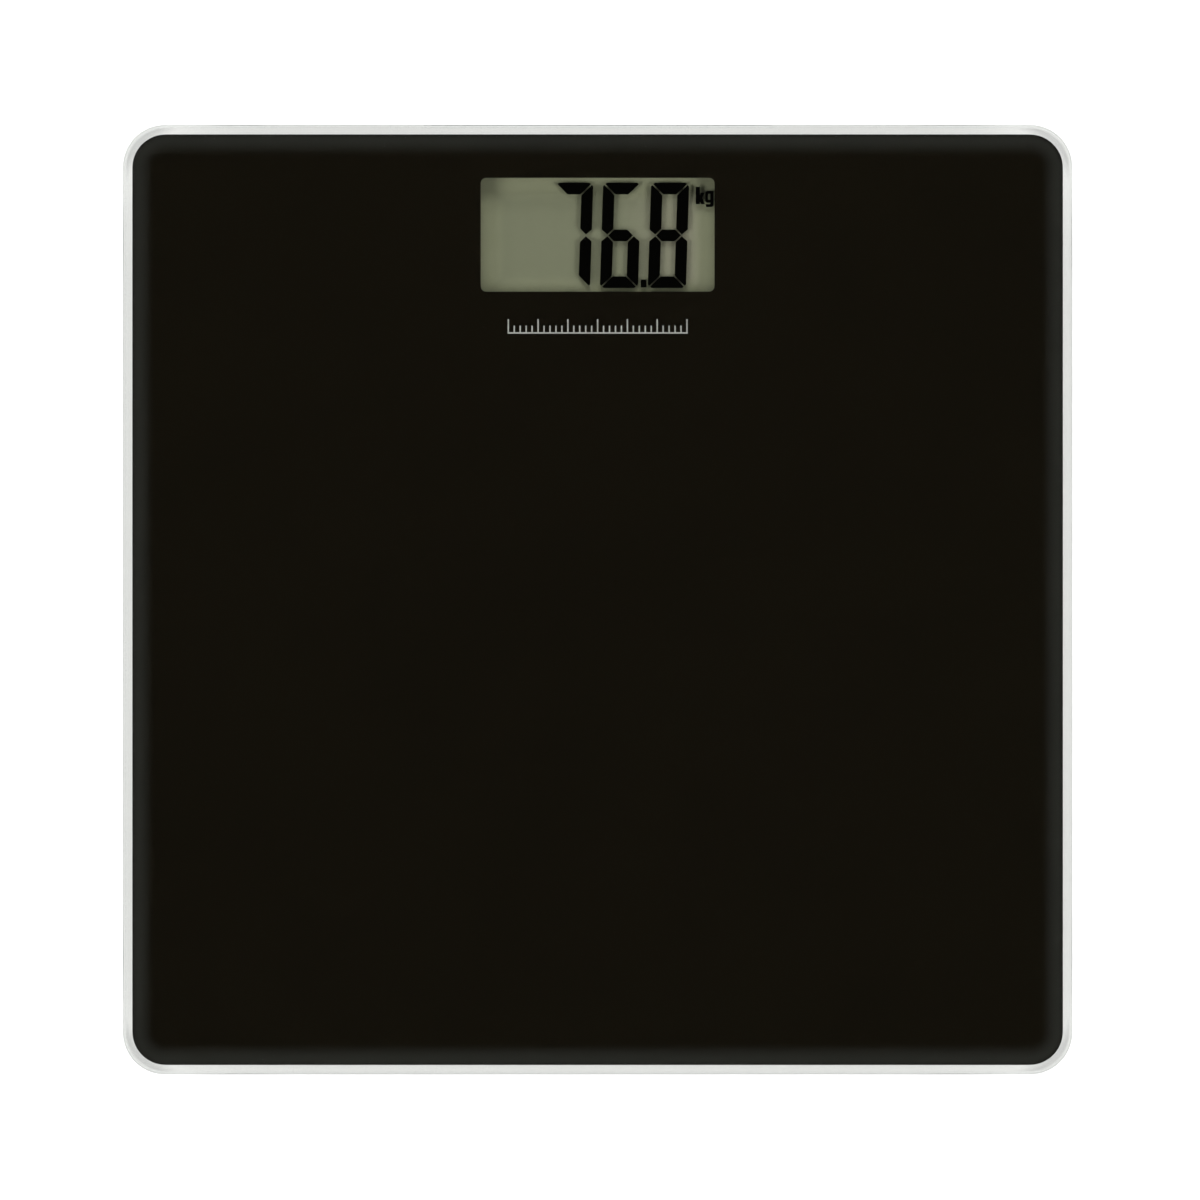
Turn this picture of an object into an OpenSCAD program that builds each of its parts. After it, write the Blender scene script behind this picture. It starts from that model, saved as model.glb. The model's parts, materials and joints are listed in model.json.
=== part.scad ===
// Digital bathroom scale: glass platform on four load-cell feet, with a display box under the rear edge.
// X runs to the right, Y to the rear edge where the display is, and Z up. The floor is z = 0.

/* [Platform] */
// Width of the glass platform
glass_w = 300; // [250:1:400]
// Depth of the glass platform
glass_d = 300; // [250:1:400]
// Thickness of the tempered glass
glass_t = 6; // [4:0.5:8]
// Radius of the four corners, seen from above
glass_r = 13.25; // [8:0.25:24]
// Rounding of the ground edge
edge_r = 0.9; // [0.4:0.1:1.8]
// Height of the glass underside above the floor
under_h = 16; // [13:0.1:24]
// Thickness of the black print fired on the underside
print_t = 0.1; // [0.05:0.01:0.2]
// Clear rim between the print and the edge of the glass
print_margin = 2.75; // [1:0.25:6]
// Thickness of the foam tape that holds the parts to the glass
tape_t = 0.8; // [0.4:0.1:1.2]

/* [Window and digits] */
// Width of the display window in the print
window_w = 74; // [56:0.5:92]
// Depth of the display window in the print
window_d = 36; // [28:0.5:44]
// Corner radius of the window
window_r = 1.75; // [0.5:0.25:4]
// Distance from the rear edge of the glass to the middle of the window
window_inset = 34.5; // [32:0.5:60]
// Space between a digit and the front and rear edges of the window
digit_margin = 1.3; // [0.8:0.1:4]
// Width of a digit
digit_w = 12.1; // [9:0.1:14]
// Distance from one digit to the next
digit_pitch = 15.2; // [14.6:0.1:18]
// Stroke of a digit
digit_stroke = 3.7; // [1.5:0.1:4]
// Lean of the digits to the right, in degrees
digit_lean = 1.8; // [0:0.1:8]
// Space between neighbouring strokes of a digit
stroke_gap = 0.4; // [0.2:0.05:0.8]
// Space between the last digit and the right edge of the window
unit_space = 9; // [7:0.5:14]

/* [Mark] */
// Length of the row of graduation ticks
mark_w = 57; // [30:1:80]
// Length of the long ticks
mark_d = 4.6; // [2:0.1:8]
// Distance from the window to the middle of the row of ticks
mark_drop = 11; // [6:0.5:30]

/* [Display box] */
// Wall of the box
box_wall = 1.8; // [1.2:0.1:2.6]
// Corner radius of the box
box_r = 5; // [3:0.5:8]
// Thickness of the web that frames the display
web_t = 1.2; // [0.8:0.1:2]
// Thickness of the cover and of the battery door
cover_t = 1.6; // [1.4:0.1:2.2]
// Thickness of each display glass
lcd_glass_t = 1.05; // [0.7:0.05:1.4]
// Thickness of the circuit board
board_t = 1.2; // [0.8:0.1:1.6]
// Diameter of the coin cell
coin_dia = 20; // [16:0.1:24]
// Thickness of the coin cell
coin_t = 3.2; // [2:0.1:4]
// Overhang of the battery door to the left and right of the battery holder
door_margin = 3; // [2.5:0.5:5]
// Diameter of the unit button
button_dia = 7; // [5:0.25:9]

/* [Feet] */
// Distance from the edges of the glass to the middle of each foot
foot_inset = 36; // [33:0.5:60]
// Wall of the foot housing
housing_wall = 2; // [1.2:0.1:2.6]
// Radius of the foot cap that stands out of the housing
cap_r = 18.8; // [15:0.1:23]
// Thickness of the rubber pad
pad_t = 1.5; // [1.2:0.1:2]
// Side of the square load cell
sensor_w = 34; // [28:0.5:41]
// Thickness of the load cell
sensor_t = 2.4; // [1.8:0.1:3]
// Width of the tongue that bends in the load cell
tongue_w = 11; // [9:0.5:13]

/* [Wires] */
// Diameter of a wire
wire_dia = 1.1; // [0.8:0.05:1.2]
// Distance between the middles of neighbouring wires
wire_pitch = 1.4; // [1.3:0.05:1.5]
// Width of the wire ducts
duct_w = 7; // [6.4:0.1:9]

/* [Hidden] */
CORNERS = ["front_left", "front_right", "rear_left", "rear_right"];

$fn = 96;
cut = 1;             // overshoot of a cutting solid
slide_fit = 0.25;    // around pieces that slide
seat_fit = 0.3;      // around pieces that are laid in
close_fit = 0.05;    // around screws, pegs and the pad

// Heights, from the glass down
mount_z = under_h - print_t - tape_t;
web_z = mount_z - web_t;
polariser_t = 0.2;
front_glass_z = web_z - polariser_t - lcd_glass_t;
segment_t = 0.1;
segment_z = front_glass_z - segment_t;
rear_glass_z = segment_z - lcd_glass_t;
reflector_z = rear_glass_z - polariser_t;
board_gap = 1.2;
board_top = reflector_z - board_gap;
board_z = board_top - board_t;
contact_t = 0.25;
coin_z = board_z - contact_t - coin_t;
cover_top = coin_z - close_fit;
cover_z = cover_top - cover_t;
cover_wall_h = 2.2;
split_z = cover_top + cover_wall_h;
lip_h = 1.2;
lip_t = 1;
lip_fit = 0.15;

// Display, board and box, measured from the middle of the window
window_y = glass_d / 2 - window_inset;
lcd_side = 2.5;
lcd_front = 6;
lcd_rear = 4;
lcd_ledge = 4;
lcd_w = window_w + 2 * lcd_side;
lcd_d = window_d + lcd_front + lcd_rear;
lcd_y = window_y + (lcd_rear - lcd_front) / 2;
lcd_front_y = lcd_y - lcd_d / 2;
rear_glass_d = lcd_d - lcd_ledge;
rear_glass_y = lcd_y + lcd_ledge / 2;
seal_w = 1.2;
opening_margin = 0.8;
board_side = 6.5;
board_front = 5;
board_rear = 1;
board_w = lcd_w + 2 * board_side;
board_d = lcd_d + board_front + board_rear;
box_y = lcd_y + (board_rear - board_front) / 2;
board_room_x = 8.2;
board_room_y = 2.7;
box_w = board_w + 2 * (board_room_x + box_wall);
box_d = board_d + 2 * (board_room_y + box_wall);
box_front_y = box_y - box_d / 2;
rib_t = 1.2;
case_boss_r = 2.8;
case_boss_inset = 5;
board_boss_r = 2.2;
board_boss_x = board_w / 2 - 3;
board_boss_y = board_d / 2 - 4;
case_screw = [2, 1.2, 1];       // head radius, head height, shank radius
board_screw = [1.8, 1, 0.9];

// Battery bay
coin_x = -22;
bore_r = coin_dia / 2 + seat_fit;
holder_w = 2 * bore_r + 3.4;
holder_z = coin_z + 0.25;
ear_half = 1.9;
hinge_z = cover_top;
hinge_back = holder_w / 2 + cover_t + 0.4;
door_neck = norm([ear_half, cover_t]) + 0.15;
door_w = holder_w + 2 * door_margin;
door_d = hinge_back + holder_w / 2 + 2.8;
door_fit = 0.2;
barrel_half = door_w / 2 - 2;
pin_r = 0.8;
pin_len = 1.2;
ear_t = 2.4;
ear_h = 1.8;

// Unit button and its switch
button_x = 25;
button_flange = [button_dia / 2 + 1.3, 0.8];
button_gap = 0.1;
switch_w = 6.2;
switch_h = 1.5;
plunger_r = 1.3;
plunger_out = 0.7;
plunger_len = 1.5;
button_travel = 0.35;
switch_z = board_z - switch_h;
plunger_z = switch_z - plunger_out;

// Foot, from the glass down
roof_t = 1.6;
roof_z = mount_z - roof_t;
rail_h = 1.2;
sensor_top = roof_z - rail_h;
sensor_z = sensor_top - sensor_t;
post_h = 2;
flange_t = 1;
flange_top = sensor_z - post_h;
flange_z = flange_top - flange_t;
hang_gap = 0.3;      // lets the foot rock on the dome of its post until the flange meets the ring
post_r = 3.5;
dome_r = 6;
ring_t = 1.6;
ring_top = flange_z - hang_gap;
ring_z = ring_top - ring_t;
pad_recess = 0.7;
cap_z = pad_t - pad_recess;
cap_wall = 1.8;
cap_floor = 1.8;
pad_rim = 1.8;
pad_r = cap_r - pad_rim;
flange_r = cap_r + 1.9;
boss_room = 6.3;
sensor_r = 3;
sensor_reach = (sensor_w / 2 - sensor_r) * sqrt(2) + sensor_r;
skirt_r = max(flange_r + boss_room, sensor_reach + 0.6);
housing_r = skirt_r + housing_wall;
ring_in_r = cap_r + 0.5;
ring_out_r = skirt_r - seat_fit;
screw_circle_r = (skirt_r + flange_r) / 2 + 0.35;
ring_boss_r = screw_circle_r - flange_r - 0.6;
ring_screw = [1.8, 0.8, 0.9];
SCREW_ANGLES = [90, 180, 270];
wire_slot_x = sensor_w / 2 + 2.5;
rail_w = 4;
rail_y = sensor_w / 2 - rail_w / 2 - 0.5;
rail_len = sensor_w - 6;
peg_r = 1.45;
peg_x = sensor_w / 2 - 5;
slot_w = 1.8;
tongue_x = [-7, sensor_w / 2 - 6];
gauge = [4.4, 6, 0.12];
gauge_x = tongue_x[1] - 3.2;
sealant = [7, 9, 1];
sealant_x = tongue_x[1] - 2.7;

// Places of the feet, and the line that each foot's wires follow to the box
foot_x = glass_w / 2 - foot_inset;
foot_y = glass_d / 2 - foot_inset;
front_entry_x = 34;
front_run = [foot_x - front_entry_x, box_front_y + foot_y];
front_angle = atan2(front_run.y, front_run.x);
//       x        y       wire direction     distance to the box   slant of the box wall to the wires
FEET = [[-foot_x, -foot_y, front_angle,       norm(front_run),      front_angle],
        [foot_x,  -foot_y, 180 - front_angle, norm(front_run),      front_angle],
        [-foot_x, foot_y,  0,                 foot_x - box_w / 2,   90],
        [foot_x,  foot_y,  180,               foot_x - box_w / 2,   90]];
pad_len = 2.2;
pad_high = 0.1;
front_reach = (box_wall + board_room_y + pad_len + 1.8) / sin(front_angle);
rear_reach = box_wall + board_room_x + pad_len + 0.6;
REACH = [front_reach, front_reach, rear_reach, rear_reach];

duct_floor_t = 0.7;
duct_wall = 0.9;
duct_z = mount_z - 2.6;
channel_z = duct_z + duct_floor_t;
channel_w = duct_w - 2 * duct_wall;
wire_r = wire_dia / 2;
wire_gap = 0.1;
wire_high_z = (channel_z + mount_z) / 2;
wire_foot_z = sensor_z - wire_r - wire_gap;
wire_box_z = board_top + pad_high + wire_r;
wire_start = sealant_x + sealant.x / 2;
bend_angle = 75;
bend_rings = 4;
wire_sides = 8;

glass_color = [0.80, 0.87, 0.84, 0.35];
print_color = [0.075, 0.063, 0.039];
silver_color = [0.72, 0.72, 0.72];
lcd_color = [0.44, 0.47, 0.38];
clear_color = [0.85, 0.9, 0.88, 0.35];
black_color = [0.10, 0.10, 0.11];
rubber_color = [0.25, 0.25, 0.26];
steel_color = [0.70, 0.71, 0.73];
board_color = [0.05, 0.30, 0.16];
gold_color = [0.80, 0.65, 0.30];
foam_color = [0.90, 0.90, 0.88];

// ---------- shared shapes ----------

function arc(cx, cy, r, a0, a1, steps) =
    [for (i = [0:steps]) let (a = a0 + (a1 - a0) * i / steps) [cx + r * cos(a), cy + r * sin(a)]];

module slab(z0, z1) { translate([0, 0, z0]) linear_extrude(z1 - z0) children(); }

module rod(r, z0, z1) { translate([0, 0, z0]) cylinder(z1 - z0, r, r); }

module rounded_rect(w, d, r) {
    square([w - 2 * r, d], center = true);
    square([w, d - 2 * r], center = true);
    for (sx = [-1, 1], sy = [-1, 1]) translate([sx * (w / 2 - r), sy * (d / 2 - r)]) circle(r);
}

// A rounded plate whose edge follows a profile: x outward from the corner centre, y up.
module profiled_plate(w, d, r, h, profile) {
    core = [w - 2 * r, d - 2 * r];
    translate([-core.x / 2, -core.y / 2, 0]) cube([core.x, core.y, h]);
    for (turn = [0, 180]) rotate([0, 0, turn]) {
        translate([core.x / 2, core.y / 2, 0]) rotate([90, 0, 0]) linear_extrude(core.y) polygon(profile);
        translate([-core.x / 2, core.y / 2, 0]) rotate([90, 0, 90]) linear_extrude(core.x) polygon(profile);
    }
    for (q = [[1, 1, 0], [-1, 1, 90], [-1, -1, 180], [1, -1, 270]])
        translate([q[0] * core.x / 2, q[1] * core.y / 2, 0]) rotate([0, 0, q[2]])
            rotate_extrude(angle = 90) polygon(profile);
}

module screw(kind, z, length) {
    difference() {
        union() {
            rod(kind[0], z, z + kind[1]);
            rod(kind[2], z + kind[1] / 2, z + kind[1] + length);
        }
        for (turn = [0, 90]) rotate([0, 0, turn])
            translate([-kind[0] * 0.55, -0.2, z - cut]) cube([kind[0] * 1.1, 0.4, cut + kind[1] * 0.6]);
    }
}

module at_corners(x, y) { for (sx = [-1, 1], sy = [-1, 1]) translate([sx * x, sy * y, 0]) children(); }

module at_foot(i) { translate([FEET[i][0], FEET[i][1], 0]) rotate([0, 0, FEET[i][2]]) children(); }

module at_box() { translate([0, box_y, 0]) children(); }

// ---------- glass and print ----------

module glass_platform() {
    profile = concat([[0, 0]], arc(glass_r - edge_r, edge_r, edge_r, -90, 0, 8),
                     arc(glass_r - edge_r, glass_t - edge_r, edge_r, 0, 90, 8), [[0, glass_t]]);
    color(glass_color) translate([0, 0, under_h]) profiled_plate(glass_w, glass_d, glass_r, glass_t, profile);
}

mark_line = 0.45;
mark_steps = 30;

module mark_outline() {
    pitch = (mark_w - mark_line) / mark_steps;
    translate([0, window_y - window_d / 2 - mark_drop - mark_d / 2]) {
        translate([-mark_w / 2, 0]) square([mark_w, mark_line]);
        for (i = [0:mark_steps])
            translate([-mark_w / 2 + i * pitch, 0]) square([mark_line, mark_d * (i % 5 == 0 ? 1 : 0.55)]);
    }
}

module enamel_print() {
    size = [glass_w - 2 * print_margin, glass_d - 2 * print_margin];
    color(print_color) slab(under_h - print_t, under_h) difference() {
        rounded_rect(size.x, size.y, glass_r - print_margin);
        translate([0, window_y]) rounded_rect(window_w, window_d, window_r);
        mark_outline();
    }
}

module print_mark() { color(silver_color) slab(under_h - print_t, under_h) mark_outline(); }

// ---------- display ----------

module lcd_front_polariser() {
    color(lcd_color) slab(web_z - polariser_t, web_z) translate([0, window_y])
        square([lcd_w - 1, window_d + 5], center = true);
}

module lcd_front_glass() {
    color(clear_color) slab(front_glass_z, front_glass_z + lcd_glass_t)
        translate([0, lcd_y]) square([lcd_w, lcd_d], center = true);
}

module rear_outline(inset) {
    translate([0, rear_glass_y]) square([lcd_w - 2 * inset, rear_glass_d - 2 * inset], center = true);
}

module lcd_rear_glass() { color(clear_color) slab(rear_glass_z, segment_z) rear_outline(0); }

module lcd_seal() {
    color(foam_color) slab(segment_z, front_glass_z) difference() {
        rear_outline(0);
        rear_outline(seal_w);
    }
}

module lcd_reflector() { color(lcd_color) slab(reflector_z, rear_glass_z) rear_outline(0.5); }

// Digits are drawn in a frame with its origin at a digit's lower left corner.
digit_h = window_d - 2 * digit_margin;
corner_cut = 1.2;
shift = stroke_gap / sqrt(2);
middle = digit_h / 2;
half = digit_stroke / 2;
bar_top = [[corner_cut, digit_h], [digit_w - corner_cut, digit_h],
           [digit_w - (corner_cut + shift) / 2, digit_h - (corner_cut - shift) / 2],
           [digit_w - digit_stroke - shift, digit_h - digit_stroke],
           [digit_stroke + shift, digit_h - digit_stroke],
           [(corner_cut + shift) / 2, digit_h - (corner_cut - shift) / 2]];
bar_side = [[0, digit_h - corner_cut], [(corner_cut - shift) / 2, digit_h - (corner_cut + shift) / 2],
            [digit_stroke, digit_h - digit_stroke - shift], [digit_stroke, middle + half + shift],
            [half, middle + shift], [0, middle + half]];
bar_middle = [[half + shift, middle], [digit_stroke + shift, middle + half],
              [digit_w - digit_stroke - shift, middle + half], [digit_w - half - shift, middle],
              [digit_w - digit_stroke - shift, middle - half], [digit_stroke + shift, middle - half]];
// Segment letter, its outline, and whether it is turned over left to right and top to bottom
SEGMENTS = [["a", bar_top, false, false], ["b", bar_side, true, false], ["c", bar_side, true, true],
            ["d", bar_top, false, true], ["e", bar_side, false, true], ["f", bar_side, false, false],
            ["g", bar_middle, false, false]];
READING = ["abc", "acdefg", "abcdefg"];
POINT_AFTER = 1;

function flip(p, over_x, over_y) = [over_x ? digit_w - p.x : p.x, over_y ? digit_h - p.y : p.y];
function lean(p) = [p.x + p.y * tan(digit_lean), p.y];

module digit(lit) {
    for (s = SEGMENTS) if (len(search(s[0], lit)) > 0)
        polygon([for (p = s[1]) lean(flip(p, s[2], s[3]))]);
}

// Small unit sign, drawn in a frame with its origin at the lower left corner of the k
module unit_sign() {
    translate([0, 0.9]) {
        square([1.35, 5.5]);
        polygon([[1.25, 1.7], [1.25, 2.5], [1.6, 3.7], [2.85, 3.7],
                 [2.1, 2.1], [2.9, 0], [1.65, 0], [1.25, 1.1]]);
    }
    translate([3, 0]) {
        difference() {
            polygon([[0.5, 1.4], [2.7, 1.4], [2.7, 5.1], [0.5, 5.1], [0, 4.6], [0, 1.9]]);
            polygon([[1, 2.3], [1.6, 2.3], [1.6, 4.2], [1, 4.2], [0.9, 4], [0.9, 2.5]]);
        }
        polygon([[1.6, 1.5], [2.7, 1.5], [2.7, 0.5], [2.2, 0], [0.3, 0], [0.1, 0.9], [1.6, 0.9]]);
    }
}

module lcd_segments() {
    last_x = window_w / 2 - unit_space - digit_w;
    base_y = window_y - digit_h / 2;
    color("black") slab(segment_z, front_glass_z) {
        for (i = [0:len(READING) - 1])
            translate([last_x - (len(READING) - 1 - i) * digit_pitch, base_y]) digit(READING[i]);
        translate([last_x - (len(READING) - 1 - POINT_AFTER) * digit_pitch + digit_w + 0.85, base_y + 0.2])
            square([1.9, 2.5]);
        translate([window_w / 2 - 5.9, window_y + window_d / 2 - 9]) unit_sign();
    }
}

module zebra_connector() {
    size = [lcd_w - 3, 2.4];
    color("dimgray") slab(board_top, front_glass_z) translate([0, lcd_front_y + lcd_ledge / 2])
        square(size, center = true);
}

module display_foam() {
    color(foam_color) slab(board_top, reflector_z)
        translate([0, lcd_y + lcd_d / 2 - 4]) square([lcd_w - 9, 4], center = true);
}

// ---------- display box ----------

module box_outline() { rounded_rect(box_w, box_d, box_r); }
module box_inside(gap = 0) {
    rounded_rect(box_w - 2 * (box_wall + gap), box_d - 2 * (box_wall + gap), box_r - box_wall);
}
module window_opening(margin) {
    translate([0, window_y - box_y])
        square([window_w + 2 * margin, window_d + 2 * margin], center = true);
}
module lcd_outline(gap) {
    translate([0, lcd_y - box_y]) square([lcd_w + 2 * gap, lcd_d + 2 * gap], center = true);
}
module at_case_bosses() {
    at_corners(box_w / 2 - case_boss_inset, box_d / 2 - case_boss_inset) children();
}

module display_housing() {
    color(black_color) difference() {
        at_box() difference() {
            union() {
                slab(web_z, mount_z) box_outline();
                slab(split_z, web_z) difference() {
                    box_outline();
                    box_inside();
                }
                slab(reflector_z + 0.3, web_z) difference() {
                    lcd_outline(seat_fit + rib_t);
                    lcd_outline(seat_fit);
                }
                at_case_bosses() rod(case_boss_r, split_z, web_z);
                at_corners(board_boss_x, board_boss_y) rod(board_boss_r, board_top, web_z);
            }
            slab(web_z - cut, mount_z + cut) window_opening(opening_margin);
            at_case_bosses() rod(case_screw[2] + close_fit, split_z - cut, web_z - 0.6);
            at_corners(board_boss_x, board_boss_y)
                rod(board_screw[2] + close_fit, board_top - cut, web_z - 0.6);
        }
        for (i = [0:3]) at_foot(i) translate([FEET[i][3] - 4, -channel_w / 2, channel_z])
            cube([4 + REACH[i] - pad_len, channel_w, mount_z - channel_z + cut]);
    }
}

module display_tape() {
    color(foam_color) slab(mount_z, mount_z + tape_t) translate([0, box_y]) difference() {
        rounded_rect(box_w - 1.2, box_d - 1.2, box_r - 0.6);
        window_opening(opening_margin + 0.4);
    }
}

module circuit_board() {
    color(board_color) at_box() slab(board_z, board_top) difference() {
        rounded_rect(board_w, board_d, 1.5);
        at_corners(board_boss_x, board_boss_y) circle(board_screw[2] + close_fit);
    }
}

module board_pads() {
    color(gold_color) for (i = [0:3], k = [-1:1])
        at_foot(i) translate([FEET[i][3] + REACH[i] - pad_len, k * wire_pitch - 0.5, board_top])
            cube([pad_len, 1, pad_high]);
}

blob_x = 5;
blob_y = 12;
blob_r = 5.5;
blob_h = 1.4;

module chip_blob() {
    sag_r = (blob_r * blob_r + blob_h * blob_h) / (2 * blob_h);
    reach = asin(blob_r / sag_r);
    color(black_color) at_box() translate([blob_x, blob_y, board_z]) mirror([0, 0, 1])
        rotate_extrude() polygon(concat([[0, 0]], arc(0, blob_h - sag_r, sag_r, 90 - reach, 90, 12)));
}

// Small parts under the board: place from the middle of the box, then width, depth and height
COMPONENTS = [[5, -8, 3.2, 1.6, 0.9], [5, -12, 3.2, 1.6, 0.9], [11, -10, 1.6, 3.2, 0.6],
              [14.5, -10, 1.6, 3.2, 0.6], [17, 12, 8, 3, 2.2], [-3, 5, 2, 1.2, 0.8],
              [-3, 1, 2, 1.2, 0.8], [34, 8, 4, 4, 1.6], [34, -8, 2, 1.2, 0.6], [37, -8, 2, 1.2, 0.6]];

module board_components() {
    color("tan") at_box() for (c = COMPONENTS)
        translate([c[0] - c[2] / 2, c[1] - c[3] / 2, board_z - c[4]]) cube([c[2], c[3], c[4]]);
}

module battery_holder() {
    color("white") at_box() translate([coin_x, 0, 0]) difference() {
        slab(holder_z, board_z) square(holder_w, center = true);
        rod(bore_r, holder_z - cut, board_z + cut);
        translate([-3, -holder_w / 2 - cut, holder_z - cut])
            cube([6, holder_w / 2, board_z - holder_z - 0.6 + cut]);
    }
}

module coin_cell() {
    r = coin_dia / 2;
    profile = [[0, 0], [r - 0.3, 0], [r, 0.3], [r, coin_t - 0.7], [r - 0.5, coin_t - 0.25],
               [r - 1, coin_t - 0.25], [r - 1.2, coin_t], [0, coin_t]];
    color(steel_color) at_box() translate([coin_x, 0, coin_z]) rotate_extrude() polygon(profile);
}

module positive_contact() {
    color(gold_color) at_box() translate([coin_x, 0, coin_z + 0.6]) rotate([0, 0, -20])
        rotate_extrude(angle = 40) translate([coin_dia / 2 + 0.02, 0])
            square([contact_t, board_z - coin_z - 0.6]);
}

module negative_contact() {
    reach = coin_dia / 2 - 2;
    color(gold_color) at_box() translate([coin_x, 0, 0]) slab(board_z - contact_t, board_z) {
        square([2 * reach, 3], center = true);
        square([3, 2 * reach], center = true);
    }
}

module unit_switch() {
    color(black_color) at_box() translate([button_x, 0, 0]) difference() {
        slab(switch_z, board_z) square(switch_w, center = true);
        rod(plunger_r + 0.1, switch_z - cut, plunger_z + plunger_len + button_travel + close_fit);
    }
}

module switch_plunger() {
    color("white") at_box() translate([button_x, 0, 0]) rod(plunger_r, plunger_z, plunger_z + plunger_len);
}

module unit_button() {
    flange_z = cover_top + button_gap;
    color(steel_color) at_box() translate([button_x, 0, 0]) {
        rod(button_dia / 2, cover_z + button_gap, flange_z + button_flange[1] / 2);
        rod(button_flange[0], flange_z, flange_z + button_flange[1]);
        rod(1.5, flange_z, plunger_z);
    }
}

module housing_cover() {
    edge = 0.8;
    profile = concat([[0, 0]], arc(box_r - edge, edge, edge, -90, 0, 6),
                     [[box_r, split_z - cover_z], [0, split_z - cover_z]]);
    color(black_color) at_box() difference() {
        union() {
            difference() {
                translate([0, 0, cover_z]) profiled_plate(box_w, box_d, box_r, split_z - cover_z, profile);
                slab(cover_top, split_z + cut) box_inside(lip_fit + lip_t);
            }
            slab(cover_top, split_z + lip_h) difference() {
                box_inside(lip_fit);
                box_inside(lip_fit + lip_t);
                at_case_bosses() circle(case_boss_r + seat_fit);
            }
            at_case_bosses() rod(case_boss_r, cover_z + 0.4, split_z);
            translate([button_x, 0, 0]) difference() {
                rod(button_flange[0] + 1.2, cover_z + 0.4, cover_top + 1.6);
                rod(button_flange[0] + 0.2, cover_top, cover_top + 1.6 + cut);
            }
            for (side = [-1, 1])
                translate([coin_x + side * (barrel_half + door_fit + ear_t / 2), hinge_back, 0])
                    slab(cover_z + 0.4, hinge_z + ear_h) square([ear_t, 2 * ear_half], center = true);
        }
        translate([coin_x, hinge_back, 0]) {
            slab(cover_z - cut, cover_top + 0.01)
                translate([-door_w / 2 - door_fit, -door_d - door_fit])
                    square([door_w + 2 * door_fit, door_d + door_fit - ear_half]);
            slab(cover_z - cut, cover_top + 0.01) translate([-barrel_half - door_fit, -ear_half - cut])
                square([2 * (barrel_half + door_fit), 2 * ear_half + cut]);
            for (side = [-1, 1]) translate([side * (barrel_half + door_fit - cut), 0, hinge_z])
                rotate([0, side * 90, 0]) cylinder(cut + pin_len, pin_r + close_fit, pin_r + close_fit);
        }
        translate([button_x, 0, 0]) rod(button_dia / 2 + slide_fit, cover_z - cut, cover_top + cut);
        at_case_bosses() {
            rod(case_screw[2] + close_fit, cover_z - cut, split_z + cut);
            rod(case_screw[0] + close_fit, cover_z - cut, cover_z + case_screw[1] + 0.2);
        }
    }
}

module battery_door() {
    color(black_color) at_box() translate([coin_x, hinge_back, 0]) {
        difference() {
            slab(cover_z, cover_top) translate([-door_w / 2, -door_d]) square([door_w, door_d - door_neck]);
            for (k = [0:2]) translate([-6, -door_d + 3 + 1.6 * k, cover_z - cut]) cube([12, 0.8, cut + 0.4]);
        }
        slab(cover_z + 0.15, cover_top)
            translate([-barrel_half, -door_neck - 0.5]) square([2 * barrel_half, door_neck + 0.5]);
        translate([-barrel_half, 0, hinge_z]) rotate([0, 90, 0])
            cylinder(2 * barrel_half, cover_t - 0.02, cover_t - 0.02);
        translate([-barrel_half - pin_len + door_fit, 0, hinge_z]) rotate([0, 90, 0])
            cylinder(2 * (barrel_half + pin_len - door_fit), pin_r, pin_r);
        translate([-4, -door_d + 0.1, cover_top - 0.2]) cube([8, 1.2, 0.9]);
    }
}

module case_screws() {
    color(steel_color) at_box() at_case_bosses() screw(case_screw, cover_z + 0.2, web_z - cover_z - 3.4);
}

module board_screws() {
    color(steel_color) at_box() at_corners(board_boss_x, board_boss_y)
        screw(board_screw, board_z - board_screw[1], web_z - board_z - 1.2);
}

// ---------- feet: each is drawn about its own middle, with the wires leaving along +X ----------

module at_ring_screws() {
    for (a = SCREW_ANGLES) rotate([0, 0, a]) translate([screw_circle_r, 0, 0]) children();
}

module foot_housing(i) {
    edge = 0.6;
    skirt = [[skirt_r, ring_z], [housing_r - edge, ring_z], [housing_r, ring_z + edge],
             [housing_r, mount_z], [0, mount_z], [0, roof_z], [skirt_r, roof_z]];
    color(black_color) at_foot(i) difference() {
        union() {
            rotate_extrude() polygon(skirt);
            for (side = [-1, 1]) translate([-rail_len / 2, side * rail_y - rail_w / 2, sensor_top])
                cube([rail_len, rail_w, rail_h + 0.5]);
            at_corners(peg_x, rail_y) rod(peg_r, sensor_z + 0.4, roof_z);
            at_ring_screws() rod(ring_boss_r, ring_top, roof_z + 0.5);
        }
        translate([wire_slot_x, -channel_w / 2, channel_z])
            cube([housing_r - wire_slot_x + cut, channel_w, mount_z - channel_z + cut]);
        at_ring_screws() rod(ring_screw[2] + close_fit, ring_top - cut, roof_z - 0.6);
    }
}

module load_cell(i) {
    slot_x = tongue_x[0] - slot_w;
    color(steel_color) at_foot(i) slab(sensor_z, sensor_top) difference() {
        rounded_rect(sensor_w, sensor_w, sensor_r);
        difference() {
            translate([slot_x, -tongue_w / 2 - slot_w]) square([tongue_x[1] - slot_x, tongue_w + 2 * slot_w]);
            translate([tongue_x[0], -tongue_w / 2]) square([tongue_x[1] - tongue_x[0] + cut, tongue_w]);
        }
        at_corners(peg_x, rail_y) circle(peg_r + close_fit);
    }
}

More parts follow.
